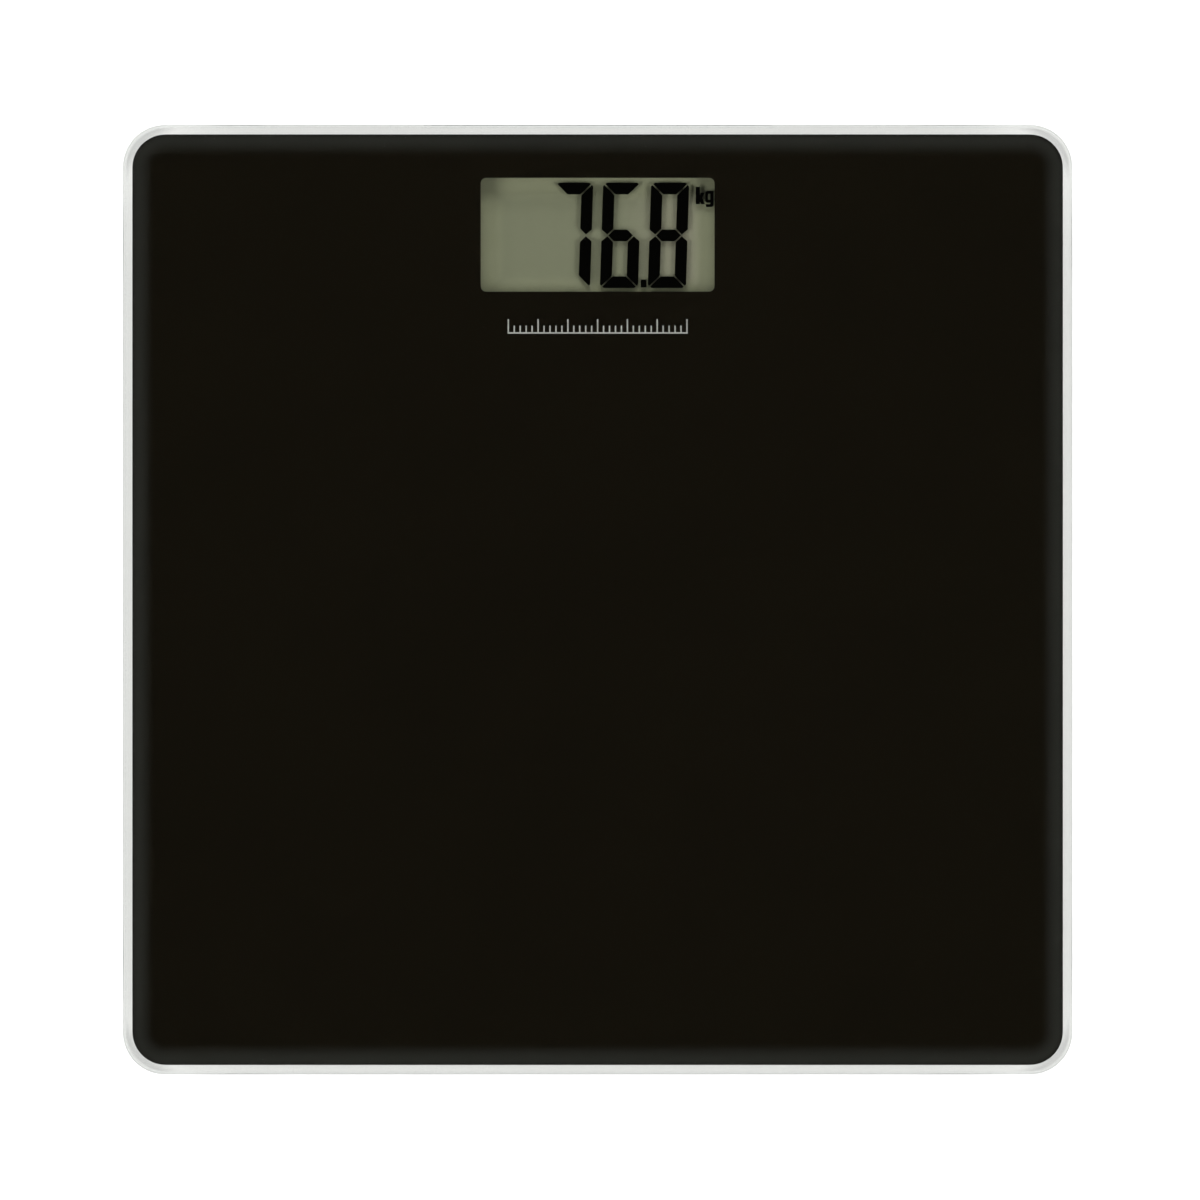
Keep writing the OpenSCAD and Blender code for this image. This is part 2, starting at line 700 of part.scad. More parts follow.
module foot_cap(i) {
    edge = 0.5;
    hub_r = 4.5;
    well_r = pad_r + close_fit;
    inner_r = cap_r - cap_wall;
    floor_z = pad_t + cap_floor;
    shell = [[well_r, cap_z], [cap_r - edge, cap_z], [cap_r, cap_z + edge], [cap_r, flange_z],
             [flange_r, flange_z], [flange_r, flange_top], [inner_r, flange_top], [inner_r, floor_z],
             [0, floor_z], [0, pad_t], [well_r, pad_t]];
    color(black_color) at_foot(i) {
        rotate_extrude() polygon(shell);
        rod(hub_r, pad_t + 0.5, flange_top);
        rotate_extrude() polygon(concat([[0, flange_top - 0.5], [post_r, flange_top - 0.5]],
                                        arc(0, sensor_z - dome_r, dome_r, acos(post_r / dome_r), 90, 8)));
        for (a = [30:60:330]) rotate([0, 0, a])
            translate([hub_r - 0.5, -rib_t / 2, floor_z - 0.5])
                cube([inner_r - hub_r + 0.9, rib_t, flange_top - floor_z - 0.3]);
    }
}

module foot_pad(i) {
    groove = [0.8, 0.35];
    edge = 0.3;
    pitch = 4;
    rings = [for (r = [pitch:pitch:pad_r - 2])
                 each [[r, 0], [r, groove.y], [r + groove.x, groove.y], [r + groove.x, 0]]];
    profile = concat([[0, 0]], rings, [[pad_r - edge, 0], [pad_r, edge], [pad_r, pad_t], [0, pad_t]]);
    color(rubber_color) at_foot(i) rotate_extrude() polygon(profile);
}

module retainer_ring(i) {
    color(black_color) at_foot(i) difference() {
        rod(ring_out_r, ring_z, ring_top);
        rod(ring_in_r, ring_z - cut, ring_top + cut);
        at_ring_screws() {
            rod(ring_screw[2] + close_fit, ring_z - cut, ring_top + cut);
            rod(ring_screw[0] + close_fit, ring_z - cut, ring_z + ring_screw[1]);
        }
    }
}

module retainer_screws() {
    color(steel_color) for (i = [0:3]) at_foot(i) at_ring_screws() screw(ring_screw, ring_z, 5);
}

module strain_gauges() {
    color("orange") for (i = [0:3]) at_foot(i)
        translate([gauge_x - gauge.x / 2, -gauge.y / 2, sensor_z - gauge.z]) cube(gauge);
}

module gauge_sealant() {
    color("white") for (i = [0:3]) at_foot(i) difference() {
        translate([sealant_x - sealant.x / 2, -sealant.y / 2, sensor_z - sealant.z]) cube(sealant);
        translate([gauge_x - gauge.x / 2, -gauge.y / 2, sensor_z - gauge.z]) cube([gauge.x, gauge.y, cut]);
    }
}

module foot_tapes() {
    color(foam_color) for (i = [0:3]) at_foot(i) rod(housing_r - 0.6, mount_z, mount_z + tape_t);
}

// ---------- wires ----------

// Points of an S-bend from [s, za] to height zb, in the upright plane that holds the wire
function bend_r(za, zb) = abs(zb - za) / (2 * (1 - cos(bend_angle)));
function bend_run(za, zb) = 2 * bend_r(za, zb) * sin(bend_angle);
function s_bend(s, za, zb) =
    let (r = bend_r(za, zb), up = sign(zb - za), run = bend_run(za, zb), step = bend_angle / bend_rings)
    concat([for (a = [0:step:bend_angle]) [s + r * sin(a), za + up * r * (1 - cos(a))]],
           [for (a = [bend_angle - step:-step:-0.01]) [s + run - r * sin(a), zb - up * r * (1 - cos(a))]]);

function wire_path(i) =
    let (rise = sensor_w / 2 + 0.3, drop = FEET[i][3] + (box_wall + 0.6) / sin(FEET[i][4]))
    concat([[wire_start, wire_foot_z]], s_bend(rise, wire_foot_z, wire_high_z),
           s_bend(drop, wire_high_z, wire_box_z), [[FEET[i][3] + REACH[i], wire_box_z]]);

function direction(path, i) =
    let (v = path[min(i + 1, len(path) - 1)] - path[max(i - 1, 0)]) v / norm(v);

// A round wire swept along a path of [s, z] points, at distance y to the side of it
module swept_wire(path, y) {
    last = len(path) - 1;
    points = [for (i = [0:last]) let (t = direction(path, i)) for (k = [0:wire_sides - 1])
                  let (a = 360 * k / wire_sides, out = wire_r * cos(a))
                  [path[i].x - t.y * out, y + wire_r * sin(a), path[i].y + t.x * out]];
    sides = [for (i = [0:last - 1], k = [0:wire_sides - 1])
                 let (n = (k + 1) % wire_sides, here = i * wire_sides, next = here + wire_sides)
                 [here + k, here + n, next + n, next + k]];
    start = [for (k = [wire_sides - 1:-1:0]) k];
    end = [for (k = [0:wire_sides - 1]) last * wire_sides + k];
    polyhedron(points, concat(sides, [start, end]));
}

module foot_wires(lane) { for (i = [0:3]) at_foot(i) swept_wire(wire_path(i), lane * wire_pitch); }
module wires_red() { color("red") foot_wires(-1); }
module wires_white() { color("white") foot_wires(0); }
module wires_black() { color(black_color) foot_wires(1); }

// Strip from a foot to the box, cut off along the wall of the box
module foot_to_box(i, width, z0, z1, gap) {
    difference() {
        at_foot(i) translate([housing_r + gap, -width / 2, z0])
            cube([FEET[i][3] - housing_r + 3, width, z1 - z0]);
        translate([0, box_y, z0 - cut]) linear_extrude(z1 - z0 + 2 * cut)
            square([box_w + 2 * gap, box_d + 2 * gap], center = true);
    }
}

module wire_ducts() {
    color(black_color) for (i = [0:3]) difference() {
        foot_to_box(i, duct_w, duct_z, mount_z, 0.1);
        at_foot(i) translate([housing_r - cut, -channel_w / 2, channel_z])
            cube([FEET[i][3] - housing_r + 4 + cut, channel_w, mount_z - channel_z + cut]);
    }
}

module duct_tapes() {
    color(foam_color) for (i = [0:3]) foot_to_box(i, duct_w, mount_z, mount_z + tape_t, 0.1);
}

// ---------- the nodes ----------

glass_platform();
enamel_print();
print_mark();
lcd_front_polariser();
lcd_front_glass();
lcd_segments();
lcd_seal();
lcd_rear_glass();
lcd_reflector();
zebra_connector();
display_foam();
display_housing();
display_tape();
circuit_board();
board_pads();
chip_blob();
board_components();
battery_holder();
coin_cell();
positive_contact();
negative_contact();
unit_switch();
switch_plunger();
unit_button();
housing_cover();
battery_door();
case_screws();
board_screws();
for (i = [0:3]) {
    foot_housing(i);
    load_cell(i);
    foot_cap(i);
    foot_pad(i);
    retainer_ring(i);
}
retainer_screws();
strain_gauges();
gauge_sealant();
wires_red();
wires_white();
wires_black();
foot_tapes();
wire_ducts();
duct_tapes();
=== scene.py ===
"""Digital bathroom scale: glass platform, display box and four load-cell feet, dressed around the CAD frame.

X runs to the right, Y to the rear edge with the display and Z up. Lengths are metres.
"""

import json
import math

import bmesh
import bpy
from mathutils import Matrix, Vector


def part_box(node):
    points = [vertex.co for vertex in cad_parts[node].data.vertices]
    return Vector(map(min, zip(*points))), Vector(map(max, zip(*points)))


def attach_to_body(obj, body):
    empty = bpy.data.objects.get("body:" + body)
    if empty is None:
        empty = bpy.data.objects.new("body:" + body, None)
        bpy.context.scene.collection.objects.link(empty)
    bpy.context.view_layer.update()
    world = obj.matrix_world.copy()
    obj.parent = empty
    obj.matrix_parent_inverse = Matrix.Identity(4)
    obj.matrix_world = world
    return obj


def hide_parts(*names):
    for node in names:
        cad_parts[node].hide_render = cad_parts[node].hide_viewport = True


bl_info = {
    "name": "Glass Bathroom Scale",
    "version": (1, 0, 0),
    "blender": (4, 5, 0),
    "location": "View3D > Sidebar > Bathroom Scale",
    "description": "Models and finishes a glass bathroom scale on its CAD frame",
    "category": "Object",
}

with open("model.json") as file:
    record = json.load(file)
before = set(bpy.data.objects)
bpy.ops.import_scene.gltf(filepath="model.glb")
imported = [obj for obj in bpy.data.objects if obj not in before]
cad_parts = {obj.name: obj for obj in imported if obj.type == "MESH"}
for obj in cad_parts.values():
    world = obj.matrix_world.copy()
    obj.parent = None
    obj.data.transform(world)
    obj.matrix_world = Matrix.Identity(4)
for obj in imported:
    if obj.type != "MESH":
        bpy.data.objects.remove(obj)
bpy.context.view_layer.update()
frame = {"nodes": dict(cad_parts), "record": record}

CORNERS = ("front_left", "front_right", "rear_left", "rear_right")
PLATFORM = "platform"
MM = 0.001

GLASS_LOW, GLASS_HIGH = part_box("glass_platform")
PRINT_LOW, PRINT_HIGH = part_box("enamel_print")
LCD_LOW, LCD_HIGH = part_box("lcd_front_glass")


def linear(hex_colour, alpha=1.0):
    """Linear colour of an sRGB hex value."""
    channels = [int(hex_colour[i:i + 2], 16) / 255 for i in (1, 3, 5)]
    return [c / 12.92 if c <= 0.04045 else ((c + 0.055) / 1.055) ** 2.4 for c in channels] + [alpha]


# ---------- settings ----------

def length(name, description, default):
    return bpy.props.FloatProperty(name=name, description=description, default=default, min=0,
                                   precision=5, subtype="DISTANCE", unit="LENGTH")


def colour(name, description, default):
    return bpy.props.FloatVectorProperty(name=name, description=description, default=linear(default)[:3],
                                         size=3, min=0, max=1, subtype="COLOR")


def amount(name, description, default):
    return bpy.props.FloatProperty(name=name, description=description, default=default, min=0)


class GlassSettings(bpy.types.PropertyGroup):
    corner_radius: length("Corner Radius", "Radius of the four corners, seen from above", 13.25 * MM)
    edge_radius: length("Edge Radius", "Rounding of the ground edge", 0.9 * MM)
    tint: colour("Glass Tint", "Colour that the glass gives what is seen through it", "#FAFBF9")
    # The rim and corner tints are painted shade: a deeper glass colour that stands for the shaded floor seen
    # through the rim.
    rim_shade_tint: colour("Rim Tint", "Deeper colour of the glass along its edge", "#DBDCD9")
    corner_shade_tint: colour("Corner Tint", "Deepest colour of the glass, round its corners", "#BEBFBD")
    painted_rim_width: length("Rim Width", "Width of the deeper coloured rim", 4 * MM)
    edge_tint: colour("Edge Tint", "Colour of the ground edge", "#D6D8D5")


class PrintSettings(bpy.types.PropertyGroup):
    colour: colour("Print Colour", "Black of the fired print", "#100D07")
    # Painted light: the lighter rim colour stands for the light that comes in through the ground edge.
    edge_light_colour: colour("Rim Colour", "Lighter black along the edge of the print", "#272724")
    painted_rim_width: length("Rim Width", "How far the lighter rim reaches in from the edge", 7 * MM)
    mark_colour: colour("Mark Colour", "Silver of the row of ticks", "#B4B4B1")


class DisplaySettings(bpy.types.PropertyGroup):
    background: colour("Background", "Grey-green behind the digits, on the left", "#CAC8BB")
    # Partly painted light: the right is less green, and also lighter to offset the shade of the digits and the
    # window's edge.
    background_right_and_light: colour("Background Right", "Grey-green behind the digits, on the right", "#E8E0DC")
    film: colour("Film", "Faint grey-green of the front film", "#EEF0E6")
    digit: colour("Digit", "Dark of the digits", "#020200")


class PlasticSettings(bpy.types.PropertyGroup):
    colour: colour("Plastic Colour", "Black of the moulded parts", "#1D1E20")
    softening: length("Softening", "Width of the rounded moulded edges", 0.18 * MM)
    texture: length("Texture", "Size of the grains of the moulded texture", 0.35 * MM)
    button_colour: colour("Button Colour", "Grey of the unit button", "#8B8E92")


class FeetSettings(bpy.types.PropertyGroup):
    rubber_colour: colour("Rubber Colour", "Dark grey of the foot pads", "#37383A")
    groove_pitch: length("Groove Pitch", "Distance from one ring groove to the next", 4 * MM)
    groove_width: length("Groove Width", "Width of a ring groove", 0.8 * MM)
    groove_depth: length("Groove Depth", "Depth of a ring groove", 0.35 * MM)


class StageSettings(bpy.types.PropertyGroup):
    lens: bpy.props.FloatProperty(name="Lens", description="Focal length in millimetres", default=180,
                                  min=1, subtype="DISTANCE_CAMERA")
    camera_height: length("Camera Height", "Height of the camera above the floor", 1.917)
    camera_right: length("Camera Right", "Distance of the camera to the right of the middle", 0.75 * MM)
    camera_front: length("Camera Front", "Distance of the camera to the front of the middle", 0.1 * MM)
    softbox_power: amount("Softbox Power", "Watts of each soft light", 9)
    sky: amount("Sky", "Brightness of the light from around the horizon", 1.0)
    floor_glow: amount("Floor Glow", "Light that the pale floor gives by itself", 0.52)


GROUPS = {"glass": GlassSettings, "print": PrintSettings, "display": DisplaySettings,
          "plastic": PlasticSettings, "feet": FeetSettings, "stage": StageSettings}


def settings(group):
    return getattr(bpy.context.scene, "scale_" + group)


# ---------- shader trees ----------

def add(tree, kind, inputs=None, **options):
    """Adds a shader node with its options, and with its inputs set or linked."""
    made = tree.nodes.new("ShaderNode" + kind)
    for name, value in options.items():
        setattr(made, name, value)
    for name, value in (inputs or {}).items():
        if isinstance(value, bpy.types.NodeSocket):
            tree.links.new(value, made.inputs[name])
        else:
            made.inputs[name].default_value = value
    return made


def new_finish(name, **constants):
    """A material with a Principled shader, whose constants are set on its own sockets."""
    material = bpy.data.materials.new(name)
    material.use_nodes = True
    tree = material.node_tree
    shader = tree.nodes["Principled BSDF"]
    for socket, value in constants.items():
        shader.inputs[socket.replace("_", " ")].default_value = value
    where = add(tree, "TexCoord").outputs["Object"]
    return material, tree, shader, where


def skin(tree, shader, base, pattern, roughness, depth, reach=(0.3, 0.7)):
    """Links a base colour, and a pattern that sets roughness between two values and a relief of a real depth."""
    rough = add(tree, "MapRange", {"Value": pattern, "From Min": reach[0], "From Max": reach[1],
                                   "To Min": roughness[0], "To Max": roughness[1]})
    bump = add(tree, "Bump", {"Height": pattern, "Distance": depth})
    tree.links.new(base, shader.inputs["Base Color"])
    tree.links.new(rough.outputs["Result"], shader.inputs["Roughness"])
    tree.links.new(bump.outputs["Normal"], shader.inputs["Normal"])


def grained(name, dark, light, patch, grain, roughness, depth, stretch=(1, 1, 1), speck=0.35, **constants):
    """A finish whose colour drifts over patches and carries a fine grain that also gives roughness and relief.

    patch and grain are sizes in metres; stretch squeezes the grain along an axis, for drawn or rolled lines.
    """
    material, tree, shader, where = new_finish(name, **constants)
    drift = add(tree, "TexNoise", {"Vector": where, "Scale": 1 / patch, "Detail": 2.0})
    drift = add(tree, "MapRange", {"Value": drift.outputs["Fac"], "From Min": 0.35, "From Max": 0.65})
    along = add(tree, "Mapping", {"Vector": where, "Scale": stretch})
    fine = add(tree, "TexNoise", {"Vector": along.outputs["Vector"], "Scale": 1 / grain, "Detail": 3.0,
                                  "Roughness": 0.55}).outputs["Fac"]
    specks = add(tree, "MapRange", {"Value": fine, "From Min": 0.4, "From Max": 0.7, "To Max": speck})
    base = add(tree, "MixRGB", {"Fac": drift.outputs["Result"], "Color1": dark, "Color2": light})
    base = add(tree, "MixRGB", {"Fac": specks.outputs["Result"], "Color1": base.outputs["Color"],
                                "Color2": [min(1, c * 1.35) for c in light[:3]] + [1]})
    skin(tree, shader, base.outputs["Color"], fine, roughness, depth)
    return material


# ---------- finishes ----------

def clear_through(material, tree, shader, tint):
    """Lets light pass straight through glass, as clear glass throws no hard shadow."""
    path = add(tree, "LightPath").outputs["Is Shadow Ray"]
    clear = add(tree, "BsdfTransparent", {"Color": [math.sqrt(c) for c in tint]}).outputs["BSDF"]
    mix = add(tree, "MixShader", {0: path, 1: shader.outputs["BSDF"], 2: clear}).outputs["Shader"]
    tree.links.new(mix, tree.nodes["Material Output"].inputs["Surface"])
    return material


def edge_distance(tree, where, low, high, radius):
    """Distance in metres of a point from the edge of a rounded plate about the origin, seen from above."""
    axes = add(tree, "SeparateXYZ", {0: where}).outputs
    past, outside = [], []
    for axis, half in (("X", (high.x - low.x) / 2), ("Y", (high.y - low.y) / 2)):
        reach = add(tree, "Math", {0: axes[axis]}, operation="ABSOLUTE").outputs[0]
        past.append(add(tree, "Math", {0: reach, 1: half - radius}, operation="SUBTRACT").outputs[0])
        outside.append(add(tree, "Math", {0: past[-1], 1: 0.0}, operation="MAXIMUM").outputs[0])
    corner = add(tree, "CombineXYZ", {"X": outside[0], "Y": outside[1]}).outputs[0]
    round_part = add(tree, "VectorMath", {0: corner}, operation="LENGTH").outputs["Value"]
    larger = add(tree, "Math", {0: past[0], 1: past[1]}, operation="MAXIMUM").outputs[0]
    inner = add(tree, "Math", {0: larger, 1: 0.0}, operation="MINIMUM").outputs[0]
    signed = add(tree, "Math", {0: round_part, 1: inner}, operation="ADD").outputs[0]
    return add(tree, "Math", {0: radius, 1: signed}, operation="SUBTRACT").outputs[0]


def tempered_glass():
    # Float glass, toughened: clear, faintly green, with a mirror-like face and a very slight
    # haze where it has been wiped. Along the rim it is tinted deeper, and deepest round the
    # corners: painted shade, standing for the shaded floor seen through the rim.
    group = settings("glass")
    tint = [*group.tint, 1]
    material, tree, shader, where = new_finish("tempered_float_glass", Base_Color=tint, IOR=1.52,
                                               Transmission_Weight=1.0, Roughness=0.0)
    along = add(tree, "Mapping", {"Vector": where, "Scale": (1, 2.5, 1)}).outputs["Vector"]
    wipes = add(tree, "TexNoise", {"Vector": along, "Scale": 1 / (60 * MM), "Detail": 3.0}).outputs["Fac"]
    haze = add(tree, "MapRange", {"Value": wipes, "From Min": 0.45, "From Max": 0.8, "To Max": 0.012})
    tree.links.new(haze.outputs["Result"], shader.inputs["Roughness"])
    # Painted shade: the glass is tinted deeper within the rim width of its edge, and deeper still round the
    # corners.
    rim_shade_mask = add(tree, "MapRange", {"Value": edge_distance(tree, where, GLASS_LOW, GLASS_HIGH, group.corner_radius),
                                    "From Min": group.painted_rim_width - 1 * MM, "From Max": group.painted_rim_width})
    round_corner = edge_distance(tree, where, GLASS_LOW, GLASS_HIGH, 2 * group.corner_radius)
    corner_shade_mask = add(tree, "MapRange", {"Value": round_corner, "From Min": -3 * MM, "From Max": 0.0})
    rim = add(tree, "MixRGB", {"Fac": corner_shade_mask.outputs["Result"], "Color1": [*group.corner_shade_tint, 1],
                               "Color2": [*group.rim_shade_tint, 1]})
    body = add(tree, "MixRGB", {"Fac": rim_shade_mask.outputs["Result"], "Color1": rim.outputs["Color"],
                                "Color2": tint})
    tree.links.new(body.outputs["Color"], shader.inputs["Base Color"])
    return clear_through(material, tree, shader, tint)


def ground_glass():
    # The pencil edge of the plate, ground with a fine wheel and left satin. The grit leaves
    # lines of 0.1 mm along the edge, drawn at 0.4 mm so that they show.
    tint = [*settings("glass").edge_tint, 1]
    material, tree, shader, where = new_finish("ground_glass_edge", Base_Color=tint, IOR=1.52,
                                               Transmission_Weight=1.0)
    along = add(tree, "Mapping", {"Vector": where, "Scale": (1, 1, 3)}).outputs["Vector"]
    grit = add(tree, "TexNoise", {"Vector": along, "Scale": 1 / (0.4 * MM), "Detail": 3.0}).outputs["Fac"]
    rough = add(tree, "MapRange", {"Value": grit, "To Min": 0.2, "To Max": 0.32}).outputs["Result"]
    bump = add(tree, "Bump", {"Height": grit, "Distance": 0.003 * MM}).outputs["Normal"]
    tree.links.new(rough, shader.inputs["Roughness"])
    tree.links.new(bump, shader.inputs["Normal"])
    return clear_through(material, tree, shader, tint)


def fired_enamel():
    # Ceramic enamel, screen printed under the glass and fired: a warm black. Along the edge it is
    # painted greyer, a painted glow of the light that comes in through the ground edge. It is one
    # with the glass, so it has no gloss of its own. The mesh of the screen leaves a 0.5 mm mottle.
    group = settings("print")
    corner = settings("glass").corner_radius - (PRINT_LOW.x - GLASS_LOW.x)
    material, tree, shader, where = new_finish("fired_black_enamel", Specular_IOR_Level=0.0)
    # Painted light: greyer towards the edge of the print.
    near = add(tree, "MapRange", {"Value": edge_distance(tree, where, PRINT_LOW, PRINT_HIGH, corner),
                                  "From Min": 1.6 * MM, "From Max": group.painted_rim_width,
                                  "To Min": 1.0, "To Max": 0.0}, interpolation_type="SMOOTHSTEP")
    mottle = add(tree, "TexNoise", {"Vector": where, "Scale": 1 / (0.5 * MM), "Detail": 2.0}).outputs["Fac"]
    cloud = add(tree, "TexNoise", {"Vector": where, "Scale": 1 / (45 * MM), "Detail": 2.0}).outputs["Fac"]
    clouds = add(tree, "MapRange", {"Value": cloud, "From Min": 0.35, "From Max": 0.65, "To Max": 0.2})
    specks = add(tree, "MapRange", {"Value": mottle, "From Min": 0.4, "From Max": 0.7, "To Max": 0.12})
    dark = [*group.colour, 1]
    base = add(tree, "MixRGB", {"Fac": clouds.outputs["Result"], "Color1": dark,
                                "Color2": [c * 1.4 for c in dark]})
    base = add(tree, "MixRGB", {"Fac": specks.outputs["Result"], "Color1": base.outputs["Color"],
                                "Color2": [c * 2 for c in dark]})
    base = add(tree, "MixRGB", {"Fac": near.outputs["Result"], "Color1": base.outputs["Color"],
                                "Color2": [*group.edge_light_colour, 1]})
    skin(tree, shader, base.outputs["Color"], mottle, (0.5, 0.65), 0.004 * MM)
    return material


def silver_ink():
    # Metallic screen ink: fine aluminium flakes, drawn at 0.25 mm, in a clear binder.
    material, tree, shader, where = new_finish("silver_screen_ink", Metallic=0.4)
    flakes = add(tree, "TexVoronoi", {"Vector": where, "Scale": 1 / (0.25 * MM)}).outputs["Color"]
    flake = add(tree, "RGBToBW", {0: flakes}).outputs[0]
    silver = [*settings("print").mark_colour, 1]
    base = add(tree, "MixRGB", {"Fac": flake, "Color1": [c * 0.8 for c in silver], "Color2": silver})
    skin(tree, shader, base.outputs["Color"], flake, (0.38, 0.55), 0.004 * MM)
    return material


def display_layer(name, tint, grain, roughness, depth):
    """A clear layer of the display, laminated to its neighbours, so little is mirrored where they meet."""
    material, tree, shader, where = new_finish(name, Base_Color=tint, IOR=1.06, Transmission_Weight=1.0,
                                               Specular_IOR_Level=0.3)
    fine = add(tree, "TexNoise", {"Vector": where, "Scale": 1 / grain, "Detail": 2.0}).outputs["Fac"]
    rough = add(tree, "MapRange", {"Value": fine, "To Min": roughness[0], "To Max": roughness[1]})
    bump = add(tree, "Bump", {"Height": fine, "Distance": depth})
    tree.links.new(rough.outputs["Result"], shader.inputs["Roughness"])
    tree.links.new(bump.outputs["Normal"], shader.inputs["Normal"])
    return clear_through(material, tree, shader, tint)


def polariser_film():
    # Stretched polymer film, faintly grey-green, with a fine 0.3 mm anti-glare coat.
    return display_layer("polariser_film", [*settings("display").film, 1], 0.3 * MM, (0.0, 0.03), 0.0003 * MM)


def display_glass():
    # Thin drawn glass with a faint conductive coat, a little uneven at 4 mm.
    return display_layer("thin_display_glass", linear("#F6F8F4"), 4 * MM, (0.0, 0.01), 0.0003 * MM)


def liquid_crystal():
    # Driven liquid crystal between the glasses: near black, a little uneven at 1 mm.
    digit = [*settings("display").digit, 1]
    return grained("driven_liquid_crystal", digit, [c * 1.6 for c in digit], 1 * MM, 0.2 * MM, (0.5, 0.7),
                   0.001 * MM, Specular_IOR_Level=0.0)


def display_reflector():
    # Brushed foil under a grey-green diffusing film: a fine 0.2 mm grain, a slightly less green
    # cast towards the right, as the film ages, and brighter there, painted light that offsets the
    # shade of the digits and of the window's edge; and paler along its edges, painted light that
    # offsets the shade that the window's edge casts on it.
    group = settings("display")
    material, tree, shader, where = new_finish("reflector_film", Specular_IOR_Level=0.2)
    across = add(tree, "SeparateXYZ", {0: where}).outputs["X"]
    # Partly painted light: less green and brighter towards the right.
    right_tone_and_light = add(tree, "MapRange", {"Value": across, "From Min": 5 * MM, "From Max": 36 * MM})
    along = add(tree, "Mapping", {"Vector": where, "Scale": (1, 2, 1)}).outputs["Vector"]
    grain = add(tree, "TexNoise", {"Vector": along, "Scale": 1 / (0.2 * MM), "Detail": 3.0}).outputs["Fac"]
    sparkle = add(tree, "MapRange", {"Value": grain, "From Min": 0.35, "From Max": 0.7, "To Max": 0.3})
    left, right = [*group.background, 1], [*group.background_right_and_light, 1]
    base = add(tree, "MixRGB", {"Fac": right_tone_and_light.outputs["Result"], "Color1": left, "Color2": right})
    base = add(tree, "MixRGB", {"Fac": sparkle.outputs["Result"], "Color1": base.outputs["Color"],
                                "Color2": [c * 1.25 for c in left]})
    # Painted light: paler towards the edges of the film, to offset the shade that the window's edge casts. It
    # reaches less far in at the front, where that shade is narrower.
    low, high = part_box("lcd_front_polariser")
    low.y -= 2 * MM
    centred = add(tree, "Mapping", {"Vector": where, "Location": -(low + high) / 2}).outputs["Vector"]
    border_light_mask = add(tree, "MapRange", {"Value": edge_distance(tree, centred, low, high, 2 * MM),
                                    "From Min": 5 * MM, "From Max": 11 * MM,
                                    "To Min": 1.0, "To Max": 0.0}, interpolation_type="SMOOTHSTEP")
    base = add(tree, "MixRGB", {"Fac": border_light_mask.outputs["Result"], "Color1": base.outputs["Color"],
                                "Color2": [c * 1.33 for c in left]})
    skin(tree, shader, base.outputs["Color"], grain, (0.45, 0.6), 0.004 * MM)
    return material


def sealing_epoxy():
    # The glue line round the liquid crystal: a cloudy, slightly yellow epoxy.
    return grained("sealing_epoxy", linear("#8E907F"), linear("#A3A592"), 3 * MM, 0.3 * MM, (0.3, 0.5), 0.005 * MM)


def zebra_rubber():
    # Silicone strip of carbon and clear layers, one every 0.18 mm, drawn at 0.36 mm.
    material, tree, shader, where = new_finish("zebra_silicone")
    layers = add(tree, "TexWave", {"Vector": where, "Scale": math.tau / 20 / (0.36 * MM), "Distortion": 0.2},
                 bands_direction="X").outputs["Fac"]
    base = add(tree, "MixRGB", {"Fac": layers, "Color1": linear("#1B1B1C"), "Color2": linear("#8C8782")})
    skin(tree, shader, base.outputs["Color"], layers, (0.45, 0.7), 0.01 * MM)
    return material


def foam_tape():
    # White polyethylene foam with closed cells of 0.4 mm and a soft, matte face.
    material, tree, shader, where = new_finish("polyethylene_foam")
    cells = add(tree, "TexVoronoi", {"Vector": where, "Scale": 1 / (0.4 * MM)}).outputs["Distance"]
    base = add(tree, "MixRGB", {"Fac": cells, "Color1": linear("#C6C6C0"), "Color2": linear("#EDEDE8")})
    skin(tree, shader, base.outputs["Color"], cells, (0.75, 0.95), 0.05 * MM, (0.1, 0.8))
    return material


def black_plastic():
    # ABS, injection moulded in a spark-eroded tool: a fine satin grain with a soft sheen, and
    # broad patches that handling has polished a little.
    group = settings("plastic")
    dark = [*group.colour, 1]
    return grained("moulded_black_abs", dark, [c * 1.3 for c in dark], 22 * MM, group.texture, (0.4, 0.62),
                   0.02 * MM, IOR=1.53, Specular_IOR_Level=0.45)


def circuit_board():
    # Glass-epoxy board under green solder resist: copper tracks at a 1.2 mm pitch show
    # lighter and stand 0.035 mm proud, and the weave of the glass cloth just shows.
    material, tree, shader, where = new_finish("solder_resist", IOR=1.5)
    tracks = add(tree, "TexBrick", {"Vector": where, "Color1": (0, 0, 0, 1), "Color2": (0, 0, 0, 1),
                                    "Mortar": (1, 1, 1, 1), "Scale": 1.0, "Mortar Size": 0.22 * MM,
                                    "Brick Width": 9.6 * MM, "Row Height": 1.2 * MM}).outputs["Color"]
    line = add(tree, "RGBToBW", {0: tracks}).outputs[0]
    cloth = add(tree, "TexNoise", {"Vector": where, "Scale": 1 / (0.7 * MM), "Detail": 2.0}).outputs["Fac"]
    base = add(tree, "MixRGB", {"Fac": cloth, "Color1": linear("#0C4023"), "Color2": linear("#186038")})
    base = add(tree, "MixRGB", {"Fac": line, "Color1": base.outputs["Color"], "Color2": linear("#2A7C4B")})
    skin(tree, shader, base.outputs["Color"], line, (0.28, 0.4), 0.035 * MM, (0, 1))
    return material


def gold_plate():
    # Thin gold on copper: warm metal with slight probe marks.
    return grained("gold_plate", linear("#C9A24A"), linear("#DDB85F"), 2 * MM, 0.2 * MM, (0.2, 0.38), 0.004 * MM,
                   Metallic=1.0)


def black_epoxy():
    # A drop of glossy potting epoxy over the chip, with a lazy orange-peel skin.
    return grained("potting_epoxy", linear("#0E0E0F"), linear("#19191B"), 2.5 * MM, 1.2 * MM, (0.12, 0.25),
                   0.02 * MM, IOR=1.55)


